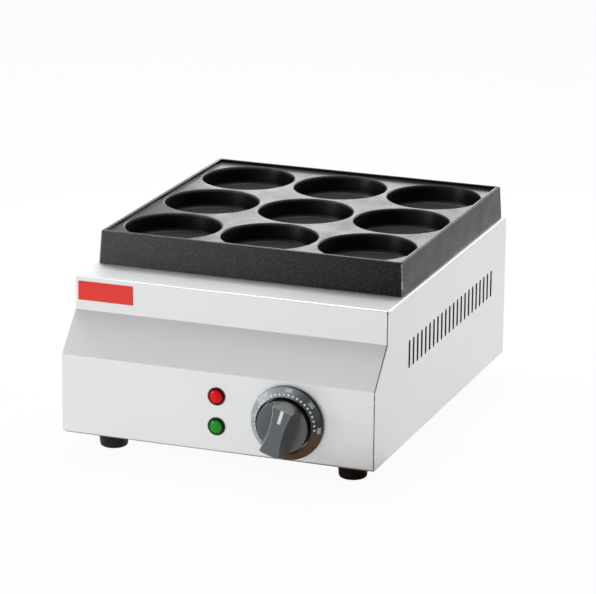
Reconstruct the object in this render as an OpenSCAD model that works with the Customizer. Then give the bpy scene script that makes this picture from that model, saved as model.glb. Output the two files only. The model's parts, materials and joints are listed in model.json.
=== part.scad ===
// Countertop egg burger maker: a folded steel case under a cast plate with nine round pockets

/* [Pockets] */
// Diameter of a pocket at the deck
pocket_d = 92.6; // [80:0.2:96]
// Distance between pocket centres, both ways
pocket_pitch = 98; // [97:0.5:112]
// Depth of a pocket below the deck
pocket_depth = 18; // [12:0.5:24]
// How much smaller the floor's radius is than the mouth's
pocket_taper = 2.8; // [1:0.1:5]
// Radius of the fillet round a pocket's floor
floor_fillet = 4; // [2:0.5:6]
// Radius of the rounded edge at a pocket's mouth
mouth_fillet = 1.6; // [0.6:0.1:2]
// Wall of a pocket's cup
cup_wall = 3.5; // [2.5:0.1:5]
// Thickness of a pocket's floor
floor_t = 3.5; // [2.5:0.1:6]

/* [Cooking plate] */
// Height of the plate above the ledge it stands on
plate_h = 32.2; // [28:0.2:44]
// Width of the raised rim round the deck
rim_w = 4; // [3:0.1:6]
// Height of the rim above the deck
rim_h = 3.5; // [2:0.1:6]
// Land between the outer pockets and the rim
rim_land = 2.2; // [1.5:0.1:8]
// Outward draft of the skirt from rim to foot
skirt_draft = 1.75; // [0.5:0.05:3]
// Wall of the skirt
skirt_t = 4; // [3:0.1:6]
// Thickness of the deck between the pockets
deck_t = 5; // [4:0.1:7]
// Radius of the stud bosses under the deck
boss_r = 6; // [5:0.1:8]
// Radius of the corner lugs that the clamp screws enter
lug_r = 5.5; // [5:0.1:7]
// Distance of a lug's centre from the skirt's inner foot
lug_in = 9.25; // [8.5:0.05:14]

/* [Case] */
// Thickness of the sheet steel
sheet_t = 1; // [0.8:0.1:1.5]
// Outer radius of the sheet's bends
bend_r = 2; // [1.6:0.1:4]
// Outer radius of the bends along the bottom edge
low_bend_r = 1.2; // [1.2:0.1:4]
// Height of the lower front face
front_h = 75; // [72:0.5:90]
// Height of the slope between the lower front and the lip
slope_h = 35.5; // [25:0.5:50]
// Height of the lip under the ledge
lip_h = 32; // [26:0.5:45]
// Set-back of the lip behind the lower front
lip_back = 33; // [20:0.5:45]
// Depth of the ledge before the plate
front_ledge = 46.75; // [30:0.25:70]
// Width of the ledge at each side of the plate
side_ledge = 2.75; // [2.5:0.25:20]
// Depth of the ledge behind the plate
rear_ledge = 7.75; // [4:0.25:30]
// Width of the inward flanges at the bottom and the rear
flange_w = 14; // [12:0.5:20]
// Gap of the seam where the front meets the right side
seam_gap = 0.7; // [0.2:0.1:0.8]
// Diameter of the relief hole at the upper right front corner
relief_d = 2.4; // [1.6:0.1:3]
// Inset of the base and rear sheets from the case's edges
cover_inset = 2; // [1.5:0.1:4]

/* [Side vents] */
// Width of a vent slot
vent_w = 5; // [3:0.1:7]
// Length of a vent slot
vent_len = 27.3; // [15:0.1:35]
// Distance between neighbouring slots
vent_pitch = 11.92; // [9:0.01:16]
// Distance of the first slot from the front face
vent_front = 93; // [75:0.5:120]
// Least distance of the last slot from the rear
vent_rear = 48; // [30:0.5:80]
// Distance of the slots' upper ends below the ledge
vent_drop = 44; // [30:0.5:55]

/* [Feet] */
// Height of a rubber foot
foot_h = 21; // [15:0.5:35]
// Radius of a foot at the top
foot_top_r = 15; // [10:0.5:18]
// Radius of a foot at the bottom
foot_low_r = 13; // [10:0.5:18]
// Rounding of a foot's lower edge
foot_round = 2.5; // [1:0.1:4]
// Distance of a foot's axis from the case's side
foot_side = 35; // [25:0.5:60]
// Distance of a foot's axis from the front and the rear
foot_end = 40; // [25:0.5:60]

/* [Dial and knob] */
// Distance of the knob's axis from the case's middle
dial_x = 70.5; // [55:0.5:95]
// Distance of the knob's axis below the middle of the front face
dial_drop = 0.8; // [-2:0.1:4]
// Outer radius of the dial ring
ring_r = 35; // [32:0.1:37]
// Height of the dial ring's outer edge
ring_edge = 3.5; // [2:0.1:5]
// Height of the dial ring at its hole
ring_h = 11.5; // [8:0.1:13]
// Radius of the knob's drum
knob_r = 24.9; // [22:0.1:26]
// Clearance between the knob and the ring
knob_gap = 1.9; // [0.5:0.1:3]
// Gap between the knob and the front face
knob_lift = 1.5; // [0.8:0.1:3]
// Height of the drum's rim from the front face
drum_h = 16; // [13:0.1:20]
// Depth of the dish in the drum's face
dish_depth = 3.5; // [2:0.1:6]
// Height of the grip's front from the front face
grip_h = 31.5; // [28:0.1:40]
// Width of the grip at its waist
grip_w = 14; // [12:0.1:18]
// Radius of the grip's hollow flanks
flank_r = 90; // [60:1:140]
// Radius at the foot of the flanks, where they run out in the dish
flank_foot = 17; // [8:0.5:19]
// Distance from the axis to the start of the grip's sloped end
grip_nose = 22; // [18:0.1:22]
// Distance from the axis to the grip's flat tail
grip_tail = 24; // [20:0.1:24]
// Wall of the knob
knob_wall = 2.2; // [1.5:0.1:3]
// Length of the pointer line
pointer_len = 13; // [8:0.5:16]
// Width of the pointer line
pointer_w = 2.8; // [1.5:0.1:4]
// Angle of the pointer from straight up, clockwise from the front
pointer_angle = 17; // [0:1:60]

/* [Pilot lamps] */
// Distance of the lamps from the case's middle
lamp_x = 0.3; // [-30:0.1:30]
// Distance between the two lamps
lamp_pitch = 29; // [24:0.5:36]
// Distance of the lamps' middle above the middle of the front face
lamp_rise = 0.9; // [-2:0.1:4]
// Diameter of a lens at the front face
lens_d = 17.2; // [14:0.1:22]
// Diameter of the lens's domed window
window_d = 12.4; // [9:0.1:14]
// Height of the lens's sloped collar at the window
lens_h = 2.4; // [1.6:0.1:5]
// Rise of the window's dome above the groove round it
dome_h = 1.5; // [0.5:0.1:3]

/* [Badge plate] */
// Width of the badge plate
badge_w = 55.7; // [40:0.1:80]
// Height of the badge plate
badge_h = 18.7; // [12:0.1:24]
// Thickness of the badge plate
badge_t = 1.2; // [0.8:0.1:2]
// Distance of the badge plate from the left side
badge_side = 2.5; // [1:0.1:10]
// Distance of the badge plate below the ledge
badge_drop = 4.3; // [3.5:0.1:6]

/* [Heating] */
// Diameter of a heating element
element_d = 8; // [6:0.1:9]
// Distance of an element's legs from its middle
element_leg = 22; // [16:0.5:28]
// Diameter of the studs that carry the heating stack
stud_d = 6; // [5:0.1:8]
// Width of a clamp bar
bar_w = 18; // [14:0.5:24]
// Thickness of a clamp bar
bar_t = 3; // [2:0.1:5]
// Thickness of the insulation board
insulation_t = 14; // [8:0.5:20]
// Diameter of the thermostat's bulb
bulb_d = 6; // [4:0.1:7]
// Length of the thermostat's bulb
bulb_len = 60; // [40:1:66]

/* [Controls and supply] */
// Diameter of the thermostat's shaft
shaft_d = 6; // [5:0.1:8]
// Width and height of the thermostat's body
thermo_size = 42; // [36:0.5:50]
// Depth of the thermostat's body
thermo_depth = 30; // [26:0.5:40]
// Distance between the thermostat's two screws
thermo_screws = 28; // [24:0.5:32]
// Distance of the cable gland from the case's middle
gland_x = 70; // [-100:1:100]
// Height of the cable gland above the case's bottom edge
gland_z = 30; // [26:0.5:50]
// Radius of the gland's cable bore
gland_bore_r = 4; // [3:0.1:5]
// Radius of the gland's thread
gland_thread_r = 8; // [7:0.1:10]

/* [Hidden] */
$fn = 48;

// Clearances: a screw or spigot in its hole, a shaft that turns, pieces that only pass by
fit = 0.1;
run_fit = 0.05;
pass_gap = 1;
touch_gap = 0.1;
// Spare length of a cutting solid
over = 1;
// Fasteners and blade tabs: nut height and width for each unit of thread, spare thread, tab sheet
nut_share = 0.8;
nut_width = 1.9;
screw_spare = 4;
tab_t = 1;
tab_w = 6;
// Straight steps in a rounded corner
bend_steps = 4;
// Straight steps from a dome's edge to its top
dome_steps = 6;

// Overall sizes that follow from the pockets and the ledges
plate_top = 2 * pocket_pitch + pocket_d + 2 * rim_land + 2 * rim_w;
plate_foot = plate_top + 2 * skirt_draft;
case_w = plate_foot + 2 * side_ledge;
case_d = lip_back + front_ledge + plate_foot + rear_ledge;
case_h = front_h + slope_h + lip_h;
plate_y = case_d / 2 - rear_ledge - plate_foot / 2;
front_y = -case_d / 2;
lip_y = front_y + lip_back;
rear_y = case_d / 2;
slope_len = norm([lip_back, slope_h]);
// How far a slope corner drops for each unit of inset
slope_drop = (slope_len - slope_h) / lip_back;

// Heights inside the case, from its bottom edge
deck_z = case_h + plate_h - rim_h;
pocket_r = pocket_d / 2;
floor_r = pocket_r - pocket_taper;
floor_z = deck_z - pocket_depth;
cup_z = floor_z - floor_t;
element_z = cup_z - touch_gap - element_d / 2;
bar_top = element_z - element_d / 2 - touch_gap;
stud_nut_h = nut_share * stud_d;
stud_nut_d = nut_width * stud_d;
insulation_top = bar_top - bar_t - stud_nut_h - pass_gap;
tray_z = insulation_top - insulation_t;
tray_low = tray_z - sheet_t;
stud_low = tray_low - stud_nut_h - 2;
stud_grip = 10;
cutout = plate_foot - 2 * (skirt_t + 3);
lug_x = plate_foot / 2 - skirt_t - lug_in;
clamp_t = 2.5;
clamp_w = 2 * lug_r + 5;
clamp_screw_d = 5;
clamp_grip = 8;

// Heating element: vertical tails at the rear and their pins
tail_bend = element_d * 1.5;
tail_y = plate_y + pocket_pitch + element_leg + tail_bend;
tail_low = tray_low - 12;
pin_d = element_d / 2;
pin_len = 14;
pin_low = tail_low - pin_len;
tray_in = 12;
tray_side = plate_foot - 2 * tray_in;

// Dial, knob and thermostat, seen from the front face
dial_z = front_h / 2 - dial_drop;
ring_hole_r = knob_r + knob_gap;
ring_mid_r = (ring_r + ring_hole_r) / 2;
ring_land = 0.6;
ring_pin_d = 3;
ring_pin_len = sheet_t + 3;
ring_pin_angles = [-40, 220];
hub_r = shaft_d / 2 + knob_wall + 0.8;
dish_z = drum_h - dish_depth;
hollow_z = dish_z - knob_wall;
shaft_front = dish_z + 8;
flat_depth = shaft_d / 4;
flat_len = shaft_front - knob_lift;
pointer_t = 0.8;
pointer_proud = 0.2;
bush_len = 10;
chamber_r = shaft_d + 3;
chamber_len = 8;
cam_r = chamber_r - 2;
cam_gap = 0.4;
thermo_screw_d = 4;
knob_reach = grip_h + pointer_proud;

// Lamps, gland and other fittings
lamp_z = [front_h / 2 + lamp_rise + lamp_pitch / 2, front_h / 2 + lamp_rise - lamp_pitch / 2];
lens_edge = lens_h / 3;
lens_groove = 0.5;
holder_r = 5;
holder_len = 26;
spigot_r = 4;
spigot_len = 6;
lamp_nut_h = 4;
lamp_nut_d = 16;
base_t = 1;
foot_screw_d = 5;
foot_seat = 8;
cover_screw_d = 4;
cover_hole_d = cover_screw_d + 2 * fit;
cover_screw_len = base_t + sheet_t + screw_spare;
gland_hex_d = 2.6 * gland_thread_r;
gland_hex_h = 6;
gland_neck_h = 5;
gland_nut_h = 5;
gland_cap_h = 14;
gland_cap_r = gland_thread_r + 3.5;
gland_gap = 0.5;
gland_neck_z = gland_hex_h + gland_gap + gland_neck_h;
gland_inner = gland_nut_h + 4;
gland_out = gland_hex_h + gland_gap + gland_cap_h;
block_size = [46, 24, 20];
block_back = 70;
block_at = [gland_x, rear_y - block_back, 0];
block_port_z = 9;
block_pole = 14;
block_screw_d = 3;
block_seat = 6;
earth_left = 60;
earth_fore = 30;
earth_at = [gland_x - earth_left, block_at.y - earth_fore, 0];
earth_d = 5;

// Leads and links: sides and eased corners, straight stretches at the ends, drop under the pins
lead_d = 3.2;
lead_sides = 8;
lead_ease = 8;
lead_run = 12;
lead_rise = 40;
lead_drop = 20;
lead_pin_z = pin_low + 8;
lead_pin_y = tail_y - pin_d / 2 - touch_gap;
link_t = 1;
link_w = 8;
link_set = 9;
link_z = pin_low + 2;
capillary_d = 1.6;
sleeve_w = bulb_d + 6;

// The case stands on its feet, with the whole object's box centred on the origin
rear_reach = base_t + gland_out;
case_y = (knob_reach - rear_reach) / 2;
case_z = foot_h + base_t;

foot_x = case_w / 2 - foot_side;
foot_y = case_d / 2 - foot_end;
vent_count = floor((case_d - vent_front - vent_rear) / vent_pitch) + 1;
flange_mid = (flange_w + cover_inset + sheet_t) / 2;
base_screw_x = case_w / 2 - flange_mid;
base_screw_y = case_d / 2 - foot_end;
rear_screw_x = case_w / 2 - flange_mid;
rear_screw_low = flange_mid;
rear_screw_high = case_h - flange_mid;
thermo_back = front_y + sheet_t + thermo_depth;
thermo_tab = 4;

steel = "gainsboro";
bright = "silver";
cast = "#242426";
rubber = "#1c1c1d";
grey_plastic = "#66696d";
black_plastic = "#2b2b2d";
ceramic = "ivory";

// Geometry helpers

function unit(v) = v / norm(v);

function turned(v, angle) = [v.x * cos(angle) - v.y * sin(angle), v.x * sin(angle) + v.y * cos(angle)];

// Arc of radius r that rounds corner b between its neighbours a and c
function corner_arc(a, b, c, r) =
    let (
        u = unit(a - b),
        v = unit(c - b),
        half = acos(u * v) / 2,
        centre = b + unit(u + v) * r / sin(half),
        start = b + u * r / tan(half) - centre,
        sweep = (180 - 2 * half) * sign(cross(b - a, c - b))
    )
    [for (i = [0 : bend_steps]) centre + turned(start, sweep * i / bend_steps)];

// Outline whose corner i has radius radii[i]; a radius of zero leaves it sharp
function rounded(points, radii) =
    let (n = len(points))
    [
        for (i = [0 : n - 1])
            each radii[i] > 0
                ? corner_arc(points[(i + n - 1) % n], points[i], points[(i + 1) % n], radii[i])
                : [points[i]]
    ];

// Section of the case across its depth, moved inwards by inset
function case_section(inset) =
    let (
        drop = inset * slope_drop,
        convex = bend_r - inset,
        hollow = bend_r - sheet_t + inset,
        low = low_bend_r - inset
    )
    rounded(
        [
            [front_y + inset, inset],
            [front_y + inset, front_h - drop],
            [lip_y + inset, front_h + slope_h - drop],
            [lip_y + inset, case_h - inset],
            [rear_y - inset, case_h - inset],
            [rear_y - inset, inset]
        ],
        [low, convex, hollow, convex, convex, low]
    );

function box_points(low, high) = [low, [high.x, low.y], high, [low.x, high.y]];

// Places in the case's frame: its middle, at the height of its bottom edge
module in_case() translate([0, case_y, case_z]) children();

// A flat shape drawn in depth and height, extruded across the width
module across(width) rotate([90, 0, 90]) linear_extrude(width, center = true) children();

// A flat shape drawn in width and height, extruded through the depth
module through(depth) rotate([90, 0, 0]) linear_extrude(depth, center = true) children();

// Front face: x to the right, y up, z outwards
module on_front(x, z) in_case() translate([x, front_y, z]) rotate([90, 0, 0]) children();

// Rear sheet's outer face: z outwards
module on_rear(x, z) in_case() translate([x, rear_y + base_t, z]) rotate([-90, 0, 0]) children();

// Copies at the four corners of a rectangle
module at_corners(x, y) for (i = [-1, 1], j = [-1, 1]) translate([i * x, j * y, 0]) children();

module at_pockets()
    for (i = [-1 : 1], j = [-1 : 1])
        translate([i * pocket_pitch, plate_y + j * pocket_pitch, 0]) children();

module at_studs() translate([0, plate_y, 0]) at_corners(pocket_pitch / 2, pocket_pitch / 2) children();

module at_lugs() translate([0, plate_y, 0]) at_corners(lug_x, lug_x) children();

module at_tails()
    for (i = [-1 : 1], side = [-1, 1])
        translate([i * pocket_pitch + side * element_leg, tail_y, 0]) children();

module at_rear_screws()
    for (x = [-rear_screw_x, 0, rear_screw_x], z = [rear_screw_low, rear_screw_high])
        on_rear(x, z) children();

module at_base_screws()
    for (x = [-base_screw_x, base_screw_x], y = [-base_screw_y, 0, base_screw_y])
        translate([x, y, -base_t]) children();

// Upright cylinder between two heights
module pillar(d, low, high) translate([0, 0, low]) cylinder(d = d, h = high - low);

module hex_nut(across_corners, height, bore_d)
    difference() {
        cylinder(d = across_corners, h = height, $fn = 6);
        translate([0, 0, -over]) cylinder(d = bore_d + 2 * fit, h = height + 2 * over);
    }

// Pan-head screw: seat at zero, head above it, shank below it
module pan_screw(d, length) {
    head_r = d;
    head_h = 0.6 * d;
    slot = 0.25 * d;
    difference() {
        union() {
            translate([0, 0, -length]) cylinder(d = d, h = length + head_h / 2);
            rotate_extrude()
                polygon(concat([[0, 0]], rounded(
                    [[head_r, 0], [head_r, head_h], [0, head_h]], [0, head_h * 0.6, 0])));
        }
        for (a = [0, 90])
            rotate([0, 0, a])
                translate([-head_r * 0.6, -slot / 2, head_h * 0.5]) cube([head_r * 1.2, slot, head_h]);
    }
}

// Route with each inner corner eased over a short stretch to both sides
function eased(points) =
    let (last = len(points) - 1)
    [
        points[0],
        for (i = [1 : last - 1])
            let (
                back = points[i - 1] - points[i],
                ahead = points[i + 1] - points[i],
                start = points[i] + unit(back) * min(lead_ease, 0.4 * norm(back)),
                end = points[i] + unit(ahead) * min(lead_ease, 0.4 * norm(ahead))
            )
            for (k = [0 : bend_steps])
                let (t = k / bend_steps)
                start * (1 - t) * (1 - t) + points[i] * 2 * t * (1 - t) + end * t * t,
        points[last]
    ];

// Direction of a route at its point i
function heading(route, i) = unit(route[min(i + 1, len(route) - 1)] - route[max(i - 1, 0)]);

// Unit vector square to a direction, as near to v as it can be
function square_to(v, direction) = unit(v - direction * (v * direction));

// Side vector at point i, carried along the route without a twist
function carried(route, i) = square_to(i == 0 ? [0, 0, 1] : carried(route, i - 1), heading(route, i));

// Tube of diameter d along a route that starts level
module lead(points, d) {
    route = eased(points);
    last = len(route) - 1;
    rings = [
        for (i = [0 : last])
            let (along = heading(route, i), side = carried(route, i), other = cross(along, side))
            for (k = [0 : lead_sides - 1])
                let (angle = 360 * k / lead_sides)
                route[i] + (side * cos(angle) + other * sin(angle)) * d / 2
    ];
    first_cap = [for (k = [0 : lead_sides - 1]) k];
    last_cap = [for (k = [lead_sides - 1 : -1 : 0]) last * lead_sides + k];
    walls = [
        for (i = [0 : last - 1], k = [0 : lead_sides - 1])
            let (next = (k + 1) % lead_sides, ring = i * lead_sides)
            [ring + next, ring + k, ring + lead_sides + k, ring + lead_sides + next]
    ];
    polyhedron(rings, concat([first_cap, last_cap], walls));
}

// Four-sided block whose sides lean in by draft over its height
module drafted_block(width, depth, height, draft)
    intersection() {
        through(depth + over)
            polygon([
                [-width / 2, 0], [width / 2, 0], [width / 2 - draft, height], [draft - width / 2, height]]);
        across(width + over)
            polygon([
                [-depth / 2, 0], [depth / 2, 0], [depth / 2 - draft, height], [draft - depth / 2, height]]);
    }

// Case and covers

// Closed form of the folded case, moved inwards by inset
module case_form(inset) {
    half_w = case_w / 2 - inset;
    radius = bend_r - inset;
    low = low_bend_r - inset;
    intersection() {
        across(2 * half_w) polygon(case_section(inset));
        through(case_d)
            polygon(rounded(
                box_points([-half_w, inset], [half_w, case_h - inset]), [low, low, radius, radius]));
        linear_extrude(case_h)
            polygon(rounded(
                box_points([-half_w, front_y], [half_w, rear_y - inset]), [0, 0, radius, radius]));
    }
}

// Narrow cut through the front wall only, beside the right side wall and just into its edge
module front_seam()
    translate([case_w / 2 - sheet_t - (seam_gap - touch_gap) / 2, 0, 0])
        across(seam_gap + touch_gap)
            intersection() {
                difference() {
                    polygon(case_section(0));
                    polygon(case_section(sheet_t + touch_gap));
                }
                union() {
                    translate([front_y - over, bend_r])
                        square([lip_back + sheet_t + over, case_h - 2 * bend_r]);
                    translate([front_y - over, -over])
                        square([sheet_t + touch_gap + over, 2 * bend_r + over]);
                }
            }

module vent_slots()
    across(case_w + 2 * over)
        for (i = [0 : vent_count - 1])
            translate([front_y + vent_front + i * vent_pitch, case_h - vent_drop - vent_len]) {
                translate([-vent_w / 2, vent_w / 2]) square([vent_w, vent_len - vent_w]);
                for (y = [vent_w / 2, vent_len - vent_w / 2]) translate([0, y]) circle(d = vent_w);
            }

// Hole through the front wall, centred on the front face's own axes
module front_hole(x, z, d) on_front(x, z) translate([0, 0, -3 * sheet_t]) cylinder(d = d, h = 4 * sheet_t);

module outer_case()
    color(steel)
        difference() {
            in_case()
                difference() {
                    case_form(0);
                    case_form(sheet_t);
                    translate([0, plate_y, case_h]) cube([cutout, cutout, 4 * sheet_t], center = true);
                    cube([case_w - 2 * flange_w, case_d - 2 * flange_w, 4 * sheet_t], center = true);
                    translate([0, rear_y, case_h / 2])
                        cube([case_w - 2 * flange_w, 4 * sheet_t, case_h - 2 * flange_w], center = true);
                    front_seam();
                    translate([case_w / 2 - sheet_t, lip_y + sheet_t, case_h - bend_r])
                        rotate([90, 0, 0]) cylinder(d = relief_d, h = 2 * sheet_t + over);
                    vent_slots();
                    at_base_screws() pillar(cover_hole_d, 0, 4 * sheet_t);
                }
            at_rear_screws() pillar(cover_hole_d, -4 * sheet_t, sheet_t);
            front_hole(dial_x, dial_z, shaft_d + 2 * pass_gap);
            for (side = [-1, 1])
                front_hole(dial_x + side * thermo_screws / 2, dial_z, thermo_screw_d + 2 * fit);
            for (a = ring_pin_angles)
                front_hole(
                    dial_x + ring_mid_r * cos(a), dial_z + ring_mid_r * sin(a), ring_pin_d + 2 * fit);
            for (z = lamp_z) front_hole(lamp_x, z, 2 * (holder_r + fit));
        }

module rear_panel()
    color(steel)
        difference() {
            in_case()
                translate([0, rear_y + base_t / 2, case_h / 2])
                    cube([case_w - 2 * cover_inset, base_t, case_h - 2 * cover_inset], center = true);
            at_rear_screws() pillar(cover_hole_d, -2 * base_t, base_t);
            on_rear(gland_x, gland_z)
                translate([0, 0, -2 * base_t]) cylinder(r = gland_thread_r + fit, h = 3 * base_t);
        }

// Rows of cooling slots in the base sheet
module base_slots() {
    slot_w = 6;
    slot_len = 60;
    for (i = [-2 : 2], side = [-1, 1])
        translate([side * slot_len, plate_y / 2 + i * 4 * slot_w, 0])
            linear_extrude(4 * base_t, center = true) {
                square([slot_len, slot_w], center = true);
                for (e = [-1, 1]) translate([e * slot_len / 2, 0]) circle(d = slot_w);
            }
}

module base_plate()
    color(steel)
        in_case()
            difference() {
                translate([0, 0, -base_t / 2])
                    cube([case_w - 2 * cover_inset, case_d - 2 * cover_inset, base_t], center = true);
                base_slots();
                at_base_screws() pillar(cover_hole_d, -over, 3 * base_t);
                at_corners(foot_x, foot_y)
                    translate([0, 0, -2 * base_t]) cylinder(d = foot_screw_d + 2 * fit, h = 4 * base_t);
                translate(earth_at)
                    translate([0, 0, -2 * base_t]) cylinder(d = earth_d + 2 * fit, h = 4 * base_t);
                at_block_screws()
                    translate([0, 0, -2 * base_t]) cylinder(d = block_screw_d + 2 * fit, h = 4 * base_t);
            }

module name_plate()
    color("crimson")
        in_case()
            translate([badge_side + (badge_w - case_w) / 2, lip_y, case_h - badge_drop - badge_h / 2])
                rotate([90, 0, 0]) drafted_block(badge_w, badge_h, badge_t, badge_t / 2);

// Cooking plate

// Hollow of one pocket, with a rounded mouth and a filleted floor
module pocket_cut()
    rotate_extrude()
        polygon(concat(
            [[0, floor_z]],
            corner_arc([0, floor_z], [floor_r, floor_z], [pocket_r, deck_z], floor_fillet),
            corner_arc([floor_r, floor_z], [pocket_r, deck_z], [2 * pocket_r, deck_z], mouth_fillet),
            [[pocket_r + 2 * mouth_fillet, deck_z + over], [0, deck_z + over]]));

module pocket_cup()
    rotate_extrude()
        polygon([
            [0, cup_z], [floor_r + cup_wall, cup_z], [pocket_r + cup_wall, deck_z - deck_t / 2],
            [0, deck_z - deck_t / 2]]);

module cooking_plate() {
    inner_foot = plate_foot - 2 * skirt_t;
    under_h = plate_h - rim_h - deck_t;
    color(cast)
        in_case()
            difference() {
                union() {
                    translate([0, plate_y, case_h])
                        difference() {
                            drafted_block(plate_foot, plate_foot, plate_h, skirt_draft);
                            translate([0, 0, -over])
                                drafted_block(inner_foot, inner_foot, under_h + over, skirt_draft);
                        }
                    at_pockets() pocket_cup();
                    at_studs() pillar(2 * boss_r, cup_z, deck_z - deck_t / 2);
                    at_lugs() pillar(2 * lug_r, case_h + touch_gap, deck_z - deck_t / 2);
                    translate([(pocket_pitch - sleeve_w) / 2, plate_y - bulb_len / 2, bar_top])
                        cube([sleeve_w, bulb_len, deck_z - deck_t / 2 - bar_top]);
                }
                translate([0, plate_y, case_h + plate_h + over])
                    mirror([0, 0, 1])
                        drafted_block(
                            plate_top - 2 * rim_w + 2 * over, plate_top - 2 * rim_w + 2 * over,
                            rim_h + over, over);
                at_pockets() pocket_cut();
                at_studs() pillar(stud_d + 2 * fit, cup_z - over, cup_z + stud_grip);
                at_lugs() pillar(clamp_screw_d + 2 * fit, case_h - over, case_h + clamp_grip + over);
                translate([pocket_pitch / 2, plate_y, element_z])
                    rotate([90, 0, 0]) cylinder(d = bulb_d + 2 * fit, h = 2 * bulb_len, center = true);
            }
}

module plate_clamps() {
    reach = case_w / 2 - bend_r - touch_gap * 5;
    color(bright)
        in_case()
            difference() {
                for (i = [-1, 1], j = [-1, 1])
                    translate([
                        i > 0 ? lug_x - lug_r : -reach,
                        plate_y + j * lug_x - clamp_w / 2,
                        case_h - sheet_t - clamp_t
                    ])
                        cube([reach - lug_x + lug_r, clamp_w, clamp_t]);
                at_lugs() cylinder(d = clamp_screw_d + 2 * fit, h = case_h);
            }
}

module plate_clamp_screws()
    color(bright)
        in_case()
            at_lugs()
                translate([0, 0, case_h - sheet_t - clamp_t])
                    mirror([0, 0, 1]) pan_screw(clamp_screw_d, clamp_t + sheet_t + clamp_grip);

// Heating stack under the plate

module plate_studs()
    color(bright)
        in_case()
            at_studs() pillar(stud_d, stud_low, cup_z + stud_grip);

module stud_nuts()
    color(bright)
        in_case()
            at_studs()
                for (z = [bar_top - bar_t, tray_low])
                    translate([0, 0, z - stud_nut_h]) hex_nut(stud_nut_d, stud_nut_h, stud_d);

module element_clamp_bars() {
    bar_len = 2 * (pocket_pitch + element_leg + element_d);
    color(bright)
        in_case()
            difference() {
                for (j = [-1, 1])
                    translate([-bar_len / 2, plate_y + j * pocket_pitch / 2 - bar_w / 2, bar_top - bar_t])
                        cube([bar_len, bar_w, bar_t]);
                at_studs() pillar(stud_d + 2 * fit, bar_top - 2 * bar_t, bar_top + bar_t);
            }
}

// Hairpin tube under one row of pockets, with its two tails turned down at the rear
module hairpin() {
    front = plate_y - pocket_pitch;
    straight = tail_y - tail_bend - front;
    translate([0, front, element_z]) {
        rotate_extrude(angle = 180, start = 180) translate([element_leg, 0]) circle(d = element_d);
        for (side = [-1, 1])
            translate([side * element_leg, 0, 0]) {
                rotate([-90, 0, 0]) cylinder(d = element_d, h = straight);
                translate([0, straight, -tail_bend])
                    rotate([90, 0, 90])
                        rotate_extrude(angle = 90) translate([tail_bend, 0]) circle(d = element_d);
                translate([0, straight + tail_bend, tail_low - element_z])
                    cylinder(d = element_d, h = element_z - tail_bend - tail_low);
            }
    }
}

module heating_elements()
    color("dimgray")
        in_case()
            for (i = [-1 : 1]) translate([i * pocket_pitch, 0, 0]) hairpin();

module element_terminals()
    color(bright)
        in_case()
            at_tails() pillar(pin_d, pin_low, tail_low);

// Flat links on the elements' pins, one before the row of pins and one behind it
module element_links()
    color("goldenrod")
        in_case()
            for (side = [-1, 1])
                translate([side * element_leg, tail_y, link_z])
                    linear_extrude(link_t)
                        difference() {
                            union() {
                                translate([0, -side * link_set])
                                    square([2 * pocket_pitch + link_w, link_w], center = true);
                                for (i = [-1 : 1])
                                    translate([i * pocket_pitch, -side * link_set / 2])
                                        square([link_w, link_set + link_w], center = true);
                            }
                            for (i = [-1 : 1])
                                translate([i * pocket_pitch, 0]) circle(d = pin_d + 2 * fit);
                        }

module insulation_board() {
    side = tray_side - 2 * sheet_t - 2 * touch_gap;
    color("#d8d4c8")
        in_case()
            difference() {
                translate([-side / 2, plate_y - side / 2, tray_z]) cube([side, side, insulation_t]);
                at_studs() pillar(stud_d + pass_gap, tray_z - over, insulation_top + over);
                at_tails() pillar(element_d + pass_gap, tray_z - over, insulation_top + over);
            }
}

module heat_shield_tray() {
    inner = tray_side - 2 * sheet_t;
    color(bright)
        in_case()
            difference() {
                translate([-tray_side / 2, plate_y - tray_side / 2, tray_low])
                    cube([tray_side, tray_side, sheet_t + insulation_t]);
                translate([-inner / 2, plate_y - inner / 2, tray_z])
                    cube([inner, inner, insulation_t + over]);
                at_studs() pillar(stud_d + pass_gap, tray_low - over, tray_z + over);
                at_tails() pillar(element_d + pass_gap, tray_low - over, tray_z + over);
            }
}

// Thermostat

module thermostat_body()
    color(black_plastic)
        on_front(dial_x, dial_z)
            translate([0, 0, -sheet_t])
                mirror([0, 0, 1])
                    difference() {
                        union() {
                            translate([-thermo_size / 2, -thermo_size / 2, 0])
                                cube([thermo_size, thermo_size, thermo_depth]);
                            for (x = [-block_pole / 2, block_pole / 2])
                                translate([x - tab_w / 2, -thermo_size / 4, thermo_depth])
                                    cube([tab_w, tab_t, thermo_tab]);
                        }
                        pillar(shaft_d + 2 * run_fit, -over, bush_len + over);
                        pillar(2 * chamber_r, bush_len, bush_len + chamber_len);
                        for (side = [-1, 1])
                            translate([side * thermo_screws / 2, 0, 0])
                                pillar(thermo_screw_d + 2 * fit, -over, bush_len - over);
                    }

module thermostat_screws()
    color(bright)
        for (side = [-1, 1])
            on_front(dial_x + side * thermo_screws / 2, dial_z) pan_screw(thermo_screw_d, bush_len - 2);

module thermostat_bulb()
    color("peru")
        in_case()
            translate([pocket_pitch / 2, plate_y, element_z])
                rotate([90, 0, 0]) cylinder(d = bulb_d, h = bulb_len, center = true);

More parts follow.
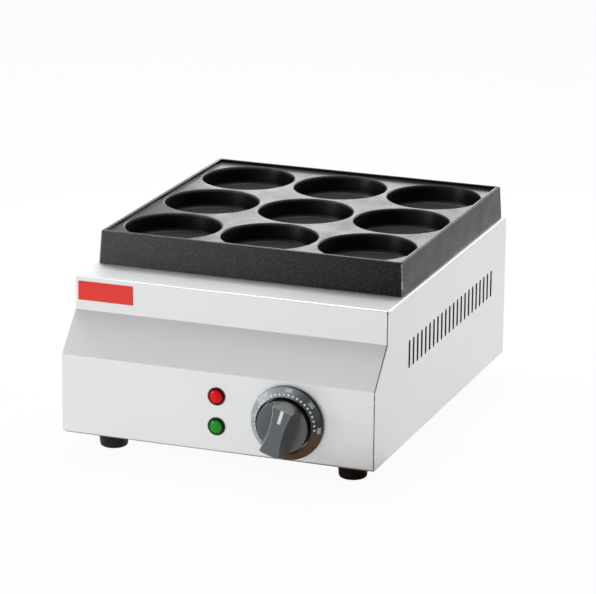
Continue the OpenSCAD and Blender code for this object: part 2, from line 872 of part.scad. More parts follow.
// Capillary: past the stud, down between the tray and the case's cutout, and on to the thermostat
module capillary_tube() {
    bulb_x = pocket_pitch / 2;
    bulb_end = plate_y - bulb_len / 2;
    side_x = bulb_x + stud_d / 2 + 5;
    drop_y = plate_y - (tray_side + cutout) / 4;
    port_z = dial_z + thermo_size / 10;
    color("peru")
        in_case()
            lead(
                [
                    [bulb_x, bulb_end, element_z],
                    [bulb_x, bulb_end - lead_run / 3, element_z],
                    [side_x, bulb_end - lead_run, element_z],
                    [side_x, drop_y + element_d, element_z],
                    [side_x, drop_y, element_z - element_d],
                    [(side_x + dial_x) / 2, drop_y - lead_drop, (element_z + dial_z) / 2],
                    [dial_x, thermo_back + lead_run, port_z],
                    [dial_x, thermo_back, port_z]
                ],
                capillary_d);
}

module thermostat_shaft()
    color(bright)
        on_front(dial_x, dial_z)
            difference() {
                union() {
                    translate([0, 0, -sheet_t - bush_len - cam_gap])
                        cylinder(d = shaft_d, h = sheet_t + bush_len + cam_gap + shaft_front);
                    translate([0, 0, -sheet_t - bush_len - chamber_len + cam_gap])
                        cylinder(r = cam_r, h = chamber_len - 2 * cam_gap);
                }
                rotate([0, 0, -pointer_angle])
                    translate([-shaft_d, shaft_d / 2 - flat_depth, knob_lift])
                        cube([2 * shaft_d, shaft_d, flat_len + over]);
            }

// Knob and dial, in the knob's own frame: y towards the pointer, z outwards

module drum()
    rotate_extrude()
        polygon(concat(
            [[0, knob_lift], [knob_r, knob_lift]],
            corner_arc([knob_r, knob_lift], [knob_r, drum_h], [0, drum_h], 1),
            [[knob_r - knob_wall, drum_h], [0, dish_z]]));

// Cutter for one of the grip's hollow flanks, down to low, with a rounded foot
module flank_cut(side, low)
    translate([side * (grip_w / 2 + flank_r), 0, 0])
        rotate_extrude()
            polygon(concat(
                [[0, low]],
                corner_arc([0, low], [flank_r, low], [flank_r, grip_h + over], min(flank_foot, grip_h - low)),
                [[flank_r, grip_h + over], [0, grip_h + over]]));

module grip() {
    root = dish_z - knob_wall / 2;
    difference() {
        translate([0, 0, root])
            linear_extrude(grip_h - root)
                intersection() {
                    circle(r = knob_r);
                    translate([-knob_r, -grip_tail]) square([2 * knob_r, grip_tail + knob_r]);
                }
        for (side = [-1, 1]) flank_cut(side, root - touch_gap);
        across(2 * knob_r)
            polygon([
                [grip_nose, grip_h],
                [knob_r, drum_h],
                [knob_r + over, drum_h],
                [knob_r + over, grip_h + over],
                [grip_nose, grip_h + over]
            ]);
    }
}

// Middle of the pointer's back, close behind the start of the sloped end
module pointer_place()
    translate([0, grip_nose - pointer_len / 2 - pointer_proud, grip_h + pointer_proud - pointer_t])
        children();

module control_knob()
    color(grey_plastic)
        on_front(dial_x, dial_z)
            rotate([0, 0, -pointer_angle])
                difference() {
                    union() {
                        difference() {
                            drum();
                            pillar(2 * (knob_r - knob_wall), knob_lift - over, hollow_z);
                        }
                        pillar(2 * hub_r, knob_lift, hollow_z + knob_wall);
                        grip();
                    }
                    intersection() {
                        pillar(shaft_d + 2 * run_fit, 0, shaft_front + pass_gap);
                        translate([-shaft_d, -shaft_d, 0])
                            cube([2 * shaft_d, 1.5 * shaft_d - flat_depth + run_fit, grip_h]);
                    }
                    pointer_place()
                        translate([-pointer_w / 2 - run_fit, -pointer_len / 2 - run_fit, 0])
                            cube([pointer_w + 2 * run_fit, pointer_len + 2 * run_fit, pointer_t + over]);
                }

module knob_pointer()
    color("white")
        on_front(dial_x, dial_z)
            rotate([0, 0, -pointer_angle])
                pointer_place()
                    translate([-pointer_w / 2, -pointer_len / 2, 0])
                        cube([pointer_w, pointer_len, pointer_t]);

module dial_ring()
    color(grey_plastic)
        on_front(dial_x, dial_z) {
            rotate_extrude()
                polygon([
                    [ring_hole_r, 0],
                    [ring_r, 0],
                    [ring_r, ring_edge],
                    [ring_hole_r + ring_land, ring_h],
                    [ring_hole_r, ring_h]
                ]);
            for (a = ring_pin_angles)
                rotate([0, 0, a])
                    translate([ring_mid_r, 0, -ring_pin_len])
                        cylinder(d = ring_pin_d, h = ring_pin_len + ring_edge);
        }

// Pilot lamps

// Sloped collar round a domed window, with a fine groove between them
module lamp_lens(z) {
    window_r = window_d / 2;
    dome_z = lens_h - lens_groove;
    dome = [
        for (i = [0 : dome_steps])
            let (share = i / dome_steps)
            [window_r * (1 - share), dome_z + dome_h * (1 - pow(1 - share, 2))]
    ];
    on_front(lamp_x, z) {
        rotate_extrude()
            polygon(concat(
                [[0, 0], [lens_d / 2, 0], [lens_d / 2, lens_edge], [window_r + lens_groove, lens_h]],
                dome));
        pillar(2 * spigot_r, -spigot_len, lens_edge);
    }
}

module lamp_holder(z)
    on_front(lamp_x, z)
        mirror([0, 0, 1])
            difference() {
                union() {
                    cylinder(r = holder_r, h = holder_len);
                    for (x = [-1, 1])
                        translate([(x * spigot_r - tab_t) / 2, -spigot_r / 2, holder_len])
                            cube([tab_t, spigot_r, tab_w]);
                }
                translate([0, 0, -over]) cylinder(r = spigot_r + fit, h = spigot_len + over + touch_gap);
            }

module red_lamp_lens() color("red") lamp_lens(lamp_z[0]);

module green_lamp_lens() color("green") lamp_lens(lamp_z[1]);

module red_lamp_holder() color(black_plastic) lamp_holder(lamp_z[0]);

module green_lamp_holder() color(black_plastic) lamp_holder(lamp_z[1]);

module lamp_nuts()
    color(black_plastic)
        for (z = lamp_z)
            on_front(lamp_x, z)
                translate([0, 0, -sheet_t - lamp_nut_h]) hex_nut(lamp_nut_d, lamp_nut_h, 2 * holder_r);

// Feet

// One rubber foot on the underside of the base, hollowed for its screw's head
module foot(side, end) {
    seat_r = foot_screw_d + 1;
    color(rubber)
        translate([side * foot_x, case_y + end * foot_y, 0])
            difference() {
                rotate_extrude()
                    polygon(concat(
                        [[0, 0]],
                        corner_arc([0, 0], [foot_low_r, 0], [foot_top_r, foot_h], foot_round),
                        [[foot_top_r, foot_h], [0, foot_h]]));
                translate([0, 0, -over]) cylinder(r = seat_r, h = foot_h - foot_seat + over);
                cylinder(d = foot_screw_d + 2 * fit, h = foot_h + over);
            }
}

module foot_front_left() foot(-1, -1);

module foot_front_right() foot(1, -1);

module foot_rear_left() foot(-1, 1);

module foot_rear_right() foot(1, 1);

module foot_screws() {
    length = foot_seat + base_t + nut_share * foot_screw_d + screw_spare / 2;
    color(bright)
        translate([0, case_y, foot_h - foot_seat])
            at_corners(foot_x, foot_y)
                mirror([0, 0, 1]) pan_screw(foot_screw_d, length);
}

module foot_nuts()
    color(bright)
        in_case()
            at_corners(foot_x, foot_y)
                hex_nut(nut_width * foot_screw_d, nut_share * foot_screw_d, foot_screw_d);

// Fasteners of the covers

module base_screws()
    color(bright)
        in_case() at_base_screws() mirror([0, 0, 1]) pan_screw(cover_screw_d, cover_screw_len);

module rear_screws() color(bright) at_rear_screws() pan_screw(cover_screw_d, cover_screw_len);

// Supply

module cable_gland()
    color(black_plastic)
        on_rear(gland_x, gland_z)
            difference() {
                union() {
                    cylinder(d = gland_hex_d, h = gland_hex_h, $fn = 6);
                    pillar(2 * gland_thread_r, -base_t - gland_inner, gland_neck_z);
                }
                pillar(2 * gland_bore_r, -base_t - gland_inner - over, gland_out);
            }

module gland_cap()
    color(black_plastic)
        on_rear(gland_x, gland_z)
            translate([0, 0, gland_hex_h + gland_gap])
                difference() {
                    rotate_extrude()
                        polygon(concat(
                            [[0, 0], [gland_cap_r, 0]],
                            corner_arc([gland_cap_r, 0], [gland_cap_r, gland_cap_h], [0, gland_cap_h], 5),
                            [[0, gland_cap_h]]));
                    pillar(2 * (gland_thread_r + fit), -over, gland_neck_h + touch_gap);
                    cylinder(r = gland_bore_r + 0.5, h = gland_cap_h + over);
                }

module gland_lock_nut()
    color(black_plastic)
        on_rear(gland_x, gland_z)
            translate([0, 0, -base_t - gland_nut_h]) hex_nut(gland_hex_d, gland_nut_h, 2 * gland_thread_r);

module at_block_screws()
    for (side = [-1, 1]) translate(block_at) translate([side * block_pole / 2, 0, 0]) children();

module terminal_block()
    color(ceramic)
        in_case()
            difference() {
                translate(block_at)
                    translate([-block_size.x / 2, -block_size.y / 2, 0]) cube(block_size);
                at_block_screws() {
                    translate([0, 0, -over]) cylinder(d = block_screw_d + 2 * fit, h = block_size.z);
                    translate([0, 0, block_seat]) cylinder(d = 3 * block_screw_d, h = block_size.z);
                }
            }

module terminal_block_screws()
    color(bright)
        in_case() at_block_screws()
            translate([0, 0, block_seat]) pan_screw(block_screw_d, block_seat + base_t + screw_spare);

module earth_screw()
    color("goldenrod")
        in_case()
            translate(earth_at) {
                translate([0, 0, -base_t]) mirror([0, 0, 1]) pan_screw(earth_d, 1.8 * earth_d);
                hex_nut(nut_width * earth_d, nut_share * earth_d, earth_d);
            }

// Leads between the block, the thermostat and the elements

function block_port(pole) = [block_at.x + pole * block_pole, block_at.y - block_size.y / 2, block_port_z];

function thermo_port(side) = [
    dial_x + side * block_pole / 2, thermo_back + thermo_tab, dial_z - thermo_size / 4 + tab_t / 2];

module live_lead() {
    from = block_port(1);
    to = thermo_port(1);
    color("brown")
        in_case()
            lead([from, [from.x, to.y + lead_rise, from.z], [to.x, to.y + lead_run, to.z], to], lead_d);
}

module switched_lead() {
    from = thermo_port(-1);
    pin = [pocket_pitch - element_leg, lead_pin_y, lead_pin_z];
    color("black")
        in_case()
            lead(
                [
                    from,
                    [from.x, from.y + lead_run, from.z],
                    [pin.x, from.y + lead_rise, pin.z - lead_drop],
                    [pin.x, pin.y - lead_rise, pin.z - lead_drop],
                    [pin.x, pin.y - lead_run, pin.z],
                    pin
                ],
                lead_d);
}

module neutral_lead() {
    from = block_port(0);
    pin = [element_leg, lead_pin_y, lead_pin_z];
    color("steelblue")
        in_case()
            lead(
                [
                    from,
                    [from.x, from.y - lead_run, from.z],
                    [pin.x, pin.y - lead_rise, pin.z - lead_drop],
                    [pin.x, pin.y - lead_run, pin.z],
                    pin
                ],
                lead_d);
}

module earth_lead() {
    from = block_port(-1);
    to = [earth_at.x + earth_d, earth_at.y, earth_d * nut_share / 2];
    color("olivedrab")
        in_case()
            lead([from, [from.x, from.y - lead_run, from.z], [to.x + lead_run, to.y, to.z], to], lead_d);
}

outer_case();
rear_panel();
base_plate();
name_plate();
cooking_plate();
plate_clamps();
plate_clamp_screws();
plate_studs();
stud_nuts();
element_clamp_bars();
heating_elements();
element_terminals();
element_links();
insulation_board();
heat_shield_tray();
thermostat_body();
thermostat_screws();
thermostat_bulb();
capillary_tube();
thermostat_shaft();
control_knob();
knob_pointer();
dial_ring();
red_lamp_lens();
green_lamp_lens();
red_lamp_holder();
green_lamp_holder();
lamp_nuts();
foot_front_left();
foot_front_right();
foot_rear_left();
foot_rear_right();
foot_screws();
foot_nuts();
base_screws();
rear_screws();
cable_gland();
gland_cap();
gland_lock_nut();
terminal_block();
terminal_block_screws();
earth_screw();
live_lead();
switched_lead();
neutral_lead();
earth_lead();
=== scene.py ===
"""Looks of the egg burger maker: materials, the cast plate, the dial's scale, light and camera."""
import json
from math import acos, cos, pi, radians, sin, tan

import bmesh
import bpy
from mathutils import Matrix, Vector


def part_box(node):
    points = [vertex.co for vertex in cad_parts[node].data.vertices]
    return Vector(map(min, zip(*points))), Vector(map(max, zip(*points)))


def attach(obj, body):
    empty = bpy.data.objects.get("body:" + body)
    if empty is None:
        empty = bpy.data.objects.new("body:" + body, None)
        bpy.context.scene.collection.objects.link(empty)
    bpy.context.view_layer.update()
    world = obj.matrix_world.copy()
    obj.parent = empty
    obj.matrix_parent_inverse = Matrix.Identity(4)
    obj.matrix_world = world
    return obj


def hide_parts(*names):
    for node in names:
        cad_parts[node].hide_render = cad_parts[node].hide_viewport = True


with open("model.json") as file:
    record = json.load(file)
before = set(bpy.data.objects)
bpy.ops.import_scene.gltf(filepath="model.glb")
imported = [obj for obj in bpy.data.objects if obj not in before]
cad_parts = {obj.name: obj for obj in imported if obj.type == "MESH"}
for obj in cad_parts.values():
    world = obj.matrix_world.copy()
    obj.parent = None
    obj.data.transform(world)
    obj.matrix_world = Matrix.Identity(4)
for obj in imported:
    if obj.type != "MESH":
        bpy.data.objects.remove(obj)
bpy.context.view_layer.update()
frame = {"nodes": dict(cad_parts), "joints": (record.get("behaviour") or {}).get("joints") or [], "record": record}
NODES = frame["nodes"]
RECORD = frame["record"]
MM = 0.001

# Boxes of the pieces that the others are placed by
CASE_LOW, CASE_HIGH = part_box("outer_case")
PLATE_LOW, PLATE_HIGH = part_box("cooking_plate")
LEDGE_Z = CASE_HIGH.z
LIP_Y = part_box("name_plate")[1].y
DIAL = Vector(frame["joints"][0]["pos_m"])

# Case: sheet, seam at the right of the front, and the vents' band below the ledge and behind the lip
SHEET_T = 1 * MM
SEAM_GAP = 0.7 * MM
VENT_TOP = 40 * MM
VENT_BOTTOM = 75 * MM
VENT_FRONT = 50 * MM
VENT_REAR = 330 * MM
# Height of the band of painted shade along the sheet's bottom edge
FOOT_BEND = 0.7 * MM

# Depths from the side's outer face at which cut edges and the seam get painted shade
CUT_START = 0.03 * SHEET_T
CUT_END = 1.05 * SHEET_T
SEAM_START = 0.88 * SHEET_T
SEAM_BACK = 1.2 * SHEET_T

# Cast plate: pockets, deck, rim and skirt
POCKET_R = 46.3 * MM
POCKET_PITCH = 98 * MM
POCKET_DEPTH = 18 * MM
POCKET_TAPER = 2.8 * MM
POCKET_SIDES = 96
MOUTH_FILLET = 1.6 * MM
MOUTH_STEPS = 4
FLOOR_FILLET = 4 * MM
FLOOR_STEPS = 6
FLOOR_RINGS = (0.6, 0.2)
FLOOR_T = 3.5 * MM
CUP_R = 48.2 * MM
CUP_RING = 0.25
DECK_T = 5 * MM
RIM_W = 4 * MM
RIM_H = 3.5 * MM
SKIRT_T = 4 * MM
SKIRT_DRAFT = 1.75 * MM
CAST_EDGE = 2 * MM
CAST_EDGE_STEPS = 4
CAST_CORNER = radians(50)
RIM_EDGE = 0.4
PLATE_MIDDLE = (PLATE_LOW + PLATE_HIGH) / 2
PLATE_HALF = (PLATE_HIGH.x - PLATE_LOW.x) / 2
DECK_HALF = PLATE_HALF - SKIRT_DRAFT - RIM_W
DECK_Z = PLATE_HIGH.z - RIM_H
FLOOR_Z = DECK_Z - POCKET_DEPTH

# Lamps' windows, and the knob's drum, grip and its edges with wear and painted highlight
WINDOW_R = 6 * MM
WINDOW_BLUR = 0.3 * MM
DRUM_R = 24.9 * MM
# Band of the drum's wall that gets painted shade
DRUM_WALL = (DRUM_R - 0.25 * MM, DRUM_R - 0.1 * MM)
GRIP_FOOT = 20 * MM
EDGE_WEAR_AND_HIGHLIGHT = 1.3 * MM

# Dial: the ring's cone and its scale, angles from the right, anticlockwise
SCALE_INNER_R = 27.4 * MM
SCALE_INNER_H = 11.5 * MM
SCALE_OUTER_R = 35 * MM
SCALE_OUTER_H = 3.5 * MM
RING_BORDER = 0.2 * MM
DOT_ORBIT = 29.3 * MM
DOT_R = 1.1 * MM
DOT_SIDES = 12
DOT_COUNT = 24
DOT_FIRST = 193
DOT_LAST = -3
NUMBER_ORBIT = 32.4 * MM
NUMBER_H = 3.6 * MM
NUMBER_WIDTH = 0.8
NUMBER_BOLD = 0.008
NUMBERS = ("100", "150", "200", "250", "300")
NUMBER_FIRST = 174
NUMBER_LAST = -4
DIGIT_SHARE = 0.7
PRINT_T = 0.06 * MM

# Meshes: distance at which vertices join, and angles for flat faces, rounded edges and smooth shading
MERGE = 1e-6
FLAT_LIMIT = radians(0.3)
ROUND_LIMIT = radians(30)
ROUND_STEPS = 2
SMOOTH_LIMIT = radians(32)

# Photograph's camera: angles in degrees, offsets of its axis from the case's middle, focal length in pixels
AZIMUTH = 20.447
ELEVATION = 16.514
ROLL = 0.499
DISTANCE = 3.318482
OFFSET_RIGHT = 0.006768
OFFSET_UP = 0.111355
FOCAL_PX = 3400
IMAGE_W = 596
SENSOR_W = 36

# Shares of a noise's range between which most of its values lie
NOISE_LOW = 0.3
NOISE_HIGH = 0.7


# Shader helpers

def place(tree, kind, inputs=None, **settings):
    """Adds a node, sets its properties, and gives each named input a value or another node's output."""
    node = tree.nodes.new(kind)
    for key, value in settings.items():
        setattr(node, key, value)
    for key, value in (inputs or {}).items():
        if isinstance(value, bpy.types.NodeSocket):
            tree.links.new(value, node.inputs[key])
        else:
            node.inputs[key].default_value = value
    return node


def material(name, **sockets):
    """New material with values set on its Principled shader; returns it with its tree and shader."""
    made = bpy.data.materials.new(name)
    made.use_nodes = True
    shader = made.node_tree.nodes["Principled BSDF"]
    for key, value in sockets.items():
        shader.inputs[key.replace("_", " ").title().replace("Ior", "IOR")].default_value = value
    return made, made.node_tree, shader


def surface(tree, shader, colour, roughness):
    """Links a colour and a roughness to a shader."""
    tree.links.new(colour, shader.inputs["Base Color"])
    tree.links.new(roughness, shader.inputs["Roughness"])


def bump(tree, shader, height, distance, strength):
    """Links a relief to a shader."""
    inputs = {"Height": height, "Distance": distance, "Strength": strength}
    tree.links.new(place(tree, "ShaderNodeBump", inputs).outputs["Normal"], shader.inputs["Normal"])


def object_place(tree):
    """Place of a surface point, in the frame at rest."""
    return place(tree, "ShaderNodeTexCoord").outputs["Object"]


def axes_of(tree, vector):
    """A vector's X, Y and Z."""
    return place(tree, "ShaderNodeSeparateXYZ", {"Vector": vector}).outputs


def noise(tree, vector, scale, detail=2):
    """Noise with a number of cells per metre."""
    inputs = {"Vector": vector, "Scale": scale, "Detail": detail}
    return place(tree, "ShaderNodeTexNoise", inputs).outputs["Fac"]


def calc(tree, operation, first, second=0.0):
    """Result of one operation on two numbers."""
    return place(tree, "ShaderNodeMath", {0: first, 1: second}, operation=operation).outputs[0]


def calc_vector(tree, operation, first, second):
    """Outputs of one operation on two vectors: Value for a number, Vector for a vector."""
    return place(tree, "ShaderNodeVectorMath", {0: first, 1: second}, operation=operation).outputs


def axis_distance(tree, centre):
    """Distance of a surface point from the line along Y through centre."""
    flat = calc_vector(tree, "MULTIPLY", object_place(tree), (1, 0, 1))["Vector"]
    return calc_vector(tree, "DISTANCE", flat, (centre.x, 0, centre.z))["Value"]


def span(tree, factor, low, high, start=NOISE_LOW, end=NOISE_HIGH):
    """Spreads a factor between start and end over the values low to high."""
    inputs = {"Value": factor, "From Min": start, "From Max": end, "To Min": low, "To Max": high}
    return place(tree, "ShaderNodeMapRange", inputs).outputs["Result"]


def between(tree, value, low, high):
    """One where a value lies between two limits, zero elsewhere."""
    above = calc(tree, "GREATER_THAN", value, low)
    return calc(tree, "MULTIPLY", above, calc(tree, "LESS_THAN", value, high))


def ramp(tree, factor, *stops):
    """Colour ramp whose stops are (position, colour)."""
    node = place(tree, "ShaderNodeValToRGB", {"Fac": factor})
    elements = node.color_ramp.elements
    while len(elements) < len(stops):
        elements.new(0.5)
    for element, (position, colour) in zip(elements, stops):
        element.position = position
        element.color = (*colour, 1)
    return node.outputs["Color"]


def tint(tree, factor, low, high):
    """Colour that a noise varies between two."""
    return ramp(tree, factor, (NOISE_LOW, low), (NOISE_HIGH, high))


def mix(tree, factor, first, second):
    """Colour between two, by a factor."""
    return place(tree, "ShaderNodeMix", {0: factor, 6: first, 7: second}, data_type="RGBA").outputs[2]


def shade(colour, factor):
    """Colour made darker or paler."""
    return tuple(channel * factor for channel in colour)


# Materials, one for each slot of the record

STEEL_DARK = (0.845, 0.85, 0.855)
STEEL_PALE = (0.86, 0.865, 0.87)
# Colour of the painted shade on the cut edges
CUT_PAINTED_SHADE = (0.02, 0.02, 0.02, 1)
# Share of that painted shade along the bottom edge
FOOT_SHADE = 0.7
BRUSH_STRETCH = 0.03


def sheet_gap_shade(tree, axes):
    """One on the cut edges inside the vent slots and the right seam, where shade is painted, zero elsewhere."""
    depth = calc(tree, "SUBTRACT", CASE_HIGH.x, calc(tree, "ABSOLUTE", axes["X"]))
    slots = between(tree, depth, CUT_START, CUT_END)
    slots = calc(tree, "MULTIPLY", slots, between(tree, axes["Z"], LEDGE_Z - VENT_BOTTOM, LEDGE_Z - VENT_TOP))
    slots = calc(tree, "MULTIPLY", slots, between(tree, axes["Y"], LIP_Y + VENT_FRONT, LIP_Y + VENT_REAR))
    right = calc(tree, "SUBTRACT", CASE_HIGH.x, axes["X"])
    seam = between(tree, right, SEAM_START, CUT_END + SEAM_GAP)
    seam = calc(tree, "MULTIPLY", seam, calc(tree, "LESS_THAN", axes["Y"], LIP_Y + SEAM_BACK))
    return calc(tree, "MAXIMUM", slots, seam)


def stainless():
    """Satin sheet, brushed across on the front faces and lengthwise on the sides, with painted shade on the cut
    edges of the vents and the seam and along its bottom edge.
    """
    made, tree, shader = material("stainless", Metallic=0.6)
    coords = place(tree, "ShaderNodeTexCoord").outputs
    across = axes_of(tree, coords["Normal"])["X"]
    side = span(tree, calc(tree, "ABSOLUTE", across), 0, 1, start=0.6, end=0.8)
    stretch = place(tree, "ShaderNodeCombineXYZ", {
        "X": span(tree, side, BRUSH_STRETCH, 1, start=0, end=1),
        "Y": span(tree, side, 1, BRUSH_STRETCH, start=0, end=1),
        "Z": 1.0,
    }).outputs["Vector"]
    brushed = calc_vector(tree, "MULTIPLY", coords["Object"], stretch)["Vector"]
    grain = noise(tree, brushed, scale=1500, detail=3)
    cloud = noise(tree, coords["Object"], scale=9)
    axes = axes_of(tree, coords["Object"])
    # Painted shade: a darker band along the sheet's bottom edge
    foot = span(tree, axes["Z"], FOOT_SHADE, 0, start=CASE_LOW.z, end=CASE_LOW.z + FOOT_BEND)
    dark = calc(tree, "MAXIMUM", foot, sheet_gap_shade(tree, axes))
    colour = mix(tree, dark, tint(tree, grain, STEEL_DARK, STEEL_PALE), CUT_PAINTED_SHADE)
    rough = calc(tree, "ADD", span(tree, cloud, -0.02, 0.02), span(tree, grain, 0.43, 0.47))
    surface(tree, shader, colour, rough)
    bump(tree, shader, grain, distance=0.01 * MM, strength=0.15)
    return made


# Coat of the plate: blacker to the right, greyer to the left as painted light from the left, each with its fleck
COAT_BLACK = (0.002, 0.002, 0.0022)
BLACK_FLECK = (0.055, 0.056, 0.057)
COAT_PAINTED_LIGHT = (0.058, 0.059, 0.061)
FLECK_PAINTED_LIGHT = (0.125, 0.127, 0.13)
# Pocket floors paler than their walls, as painted light
POCKET_FLOOR_PAINTED_LIGHT = (0.042, 0.043, 0.044)
# Bare metal at the worn upright corners, also a painted highlight
BARE_METAL_AND_HIGHLIGHT = (0.62, 0.62, 0.63, 1)
CORNER_BARE = 0.62 * CAST_EDGE
CORNER_COATED = 0.86 * CAST_EDGE


def plate_reach(tree, axes):
    """How far a point lies from the plate's middle, across and lengthwise."""
    across = calc(tree, "ABSOLUTE", calc(tree, "SUBTRACT", axes["X"], PLATE_MIDDLE.x))
    lengthwise = calc(tree, "ABSOLUTE", calc(tree, "SUBTRACT", axes["Y"], PLATE_MIDDLE.y))
    return across, lengthwise


def corner_wear_and_highlight(tree, where, axes):
    """One where the plate's upright corners have worn bare, which also stands for a painted highlight there, zero
    elsewhere.
    """
    out = calc(tree, "ADD", *plate_reach(tree, axes))
    half = span(tree, axes["Z"], PLATE_HALF, PLATE_HALF - SKIRT_DRAFT, start=LEDGE_Z, end=PLATE_HIGH.z)
    inside = calc(tree, "SUBTRACT", calc(tree, "ADD", half, half), out)
    worn = span(tree, inside, 1, 0, start=CORNER_BARE, end=CORNER_COATED)
    patchy = span(tree, noise(tree, where, scale=260, detail=3), 0.35, 1, start=0.35, end=0.6)
    return calc(tree, "MULTIPLY", worn, patchy)


def pocket_inside(tree, axes):
    """One in the pockets and on the rim's inner walls, zero on the deck, the rim's top and the skirt; there the
    coat is plain black as painted shade, rougher and less pebbled.
    """
    out = calc(tree, "MAXIMUM", *plate_reach(tree, axes))
    below = span(tree, axes["Z"], 1, 0, start=DECK_Z - 2 * MOUTH_FILLET, end=DECK_Z - MOUTH_FILLET / 2)
    pocket = calc(tree, "MULTIPLY", calc(tree, "LESS_THAN", out, DECK_HALF), below)
    edge = RIM_EDGE * CAST_EDGE
    wall = between(tree, out, DECK_HALF - edge / 2, DECK_HALF + edge / 2)
    wall = calc(tree, "MULTIPLY", wall, between(tree, axes["Z"], DECK_Z + edge / 4, PLATE_HIGH.z - edge / 4))
    return calc(tree, "MAXIMUM", pocket, wall)


def nonstick_cast():
    """Black coat with a pale fleck, greyer to the left as painted light, plain black in the pockets and inside the
    rim as painted shade, with paler pocket floors as painted light, bare at the worn corners that also carry a
    painted highlight.
    """
    made, tree, shader = material("nonstick_cast", Specular_Ior_Level=0.16)
    where = object_place(tree)
    axes = axes_of(tree, where)
    fleck = noise(tree, where, scale=1150)
    pebble = noise(tree, where, scale=620, detail=3)
    cloud = noise(tree, where, scale=45, detail=3)
    black = ramp(tree, fleck, (0.5, COAT_BLACK), (0.68, BLACK_FLECK))
    grey = ramp(tree, fleck, (0.42, COAT_PAINTED_LIGHT), (0.65, FLECK_PAINTED_LIGHT))
    # Painted light: the coat turns greyer towards the left
    coat = mix(tree, span(tree, axes["X"], 1, 0, start=PLATE_LOW.x, end=PLATE_HIGH.x), black, grey)
    # Painted shade: plain black coat in the pockets and inside the rim, with painted light paler towards the
    # pockets' floors
    plain = pocket_inside(tree, axes)
    rise = span(tree, axes["Z"], 0, 1, start=FLOOR_Z, end=FLOOR_Z + FLOOR_FILLET)
    coat = mix(tree, plain, coat, ramp(tree, rise, (0, POCKET_FLOOR_PAINTED_LIGHT), (1, COAT_BLACK)))
    colour = mix(tree, corner_wear_and_highlight(tree, where, axes), coat, BARE_METAL_AND_HIGHLIGHT)
    cast = calc(tree, "ADD", span(tree, pebble, 0.26, 0.36), span(tree, cloud, -0.05, 0.05))
    rough = calc(tree, "MULTIPLY", cast, span(tree, plain, 1, 1.15, start=0, end=1))
    surface(tree, shader, colour, rough)
    relief = calc(tree, "MULTIPLY", pebble, span(tree, plain, 1, 0.1, start=0, end=1))
    bump(tree, shader, relief, distance=0.12 * MM, strength=0.3)
    return made


def moulded(name, colour, roughness, scale=900, depth=0.03 * MM, contrast=0.12, **sockets):
    """Moulded plastic, rubber or ceramic, or enamel, with a fine even texture."""
    made, tree, shader = material(name, **sockets)
    where = object_place(tree)
    texture = noise(tree, where, scale, detail=3)
    cloud = noise(tree, where, scale / 40)
    colours = tint(tree, cloud, shade(colour, 1 - contrast), shade(colour, 1 + contrast))
    surface(tree, shader, colours, span(tree, texture, roughness - 0.05, roughness + 0.05))
    bump(tree, shader, texture, depth, strength=0.4)
    return made


def metal(name, colour, roughness):
    """Bare or plated metal with a worked surface."""
    made, tree, shader = material(name, Metallic=1.0)
    grain = noise(tree, object_place(tree), scale=700, detail=3)
    colours = tint(tree, grain, shade(colour, 0.9), shade(colour, 1.1))
    surface(tree, shader, colours, span(tree, grain, roughness - 0.07, roughness + 0.07))
    bump(tree, shader, grain, distance=0.02 * MM, strength=0.4)
    return made


def lens(name, node, window, collar):
    """Tinted lens: a bright window inside a collar of painted shade."""
    made, tree, shader = material(name, Specular_Ior_Level=0.18)
    low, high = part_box(node)
    out = axis_distance(tree, (low + high) / 2)
    # Painted shade on the collar round the window
    ring = span(tree, out, 0, 1, start=WINDOW_R - WINDOW_BLUR, end=WINDOW_R + WINDOW_BLUR)
    speck = noise(tree, object_place(tree), scale=700)
    window_tint = tint(tree, speck, shade(window, 0.94), shade(window, 1.06))
    surface(tree, shader, mix(tree, ring, window_tint, (*collar, 1)), span(tree, speck, 0.14, 0.2))
    bump(tree, shader, speck, distance=0.01 * MM, strength=0.2)
    return made


RING_DARK = (0.41, 0.46, 0.48)
RING_PALE = (0.43, 0.48, 0.50)
# Painted shade on the ring's outer edge and round its hole
RING_PAINTED_SHADE = (0.02, 0.021, 0.022, 1)


def ring_plastic():
    """Metallised plastic, with painted shade on the ring's edge and round its hole."""
    made, tree, shader = material("ring_plastic", Metallic=1.0)
    cone = between(tree, axis_distance(tree, DIAL), SCALE_INNER_R, SCALE_OUTER_R - RING_BORDER)
    cloud = noise(tree, object_place(tree), scale=60)
    colour = mix(tree, cone, RING_PAINTED_SHADE, tint(tree, cloud, RING_DARK, RING_PALE))
    surface(tree, shader, colour, span(tree, cloud, 0.27, 0.31))
    return made


KNOB_DARK = (0.082, 0.092, 0.101)
KNOB_PALE = (0.090, 0.100, 0.110)
# Painted shade on the drum's wall
DRUM_PAINTED_SHADE = (0.006, 0.006, 0.006, 1)
# Pale edges: wear, and a painted highlight
PALE_WEAR_AND_HIGHLIGHT = (0.9, 0.9, 0.9, 1)
HIGHLIGHT_AT_RIGHT = 0.15


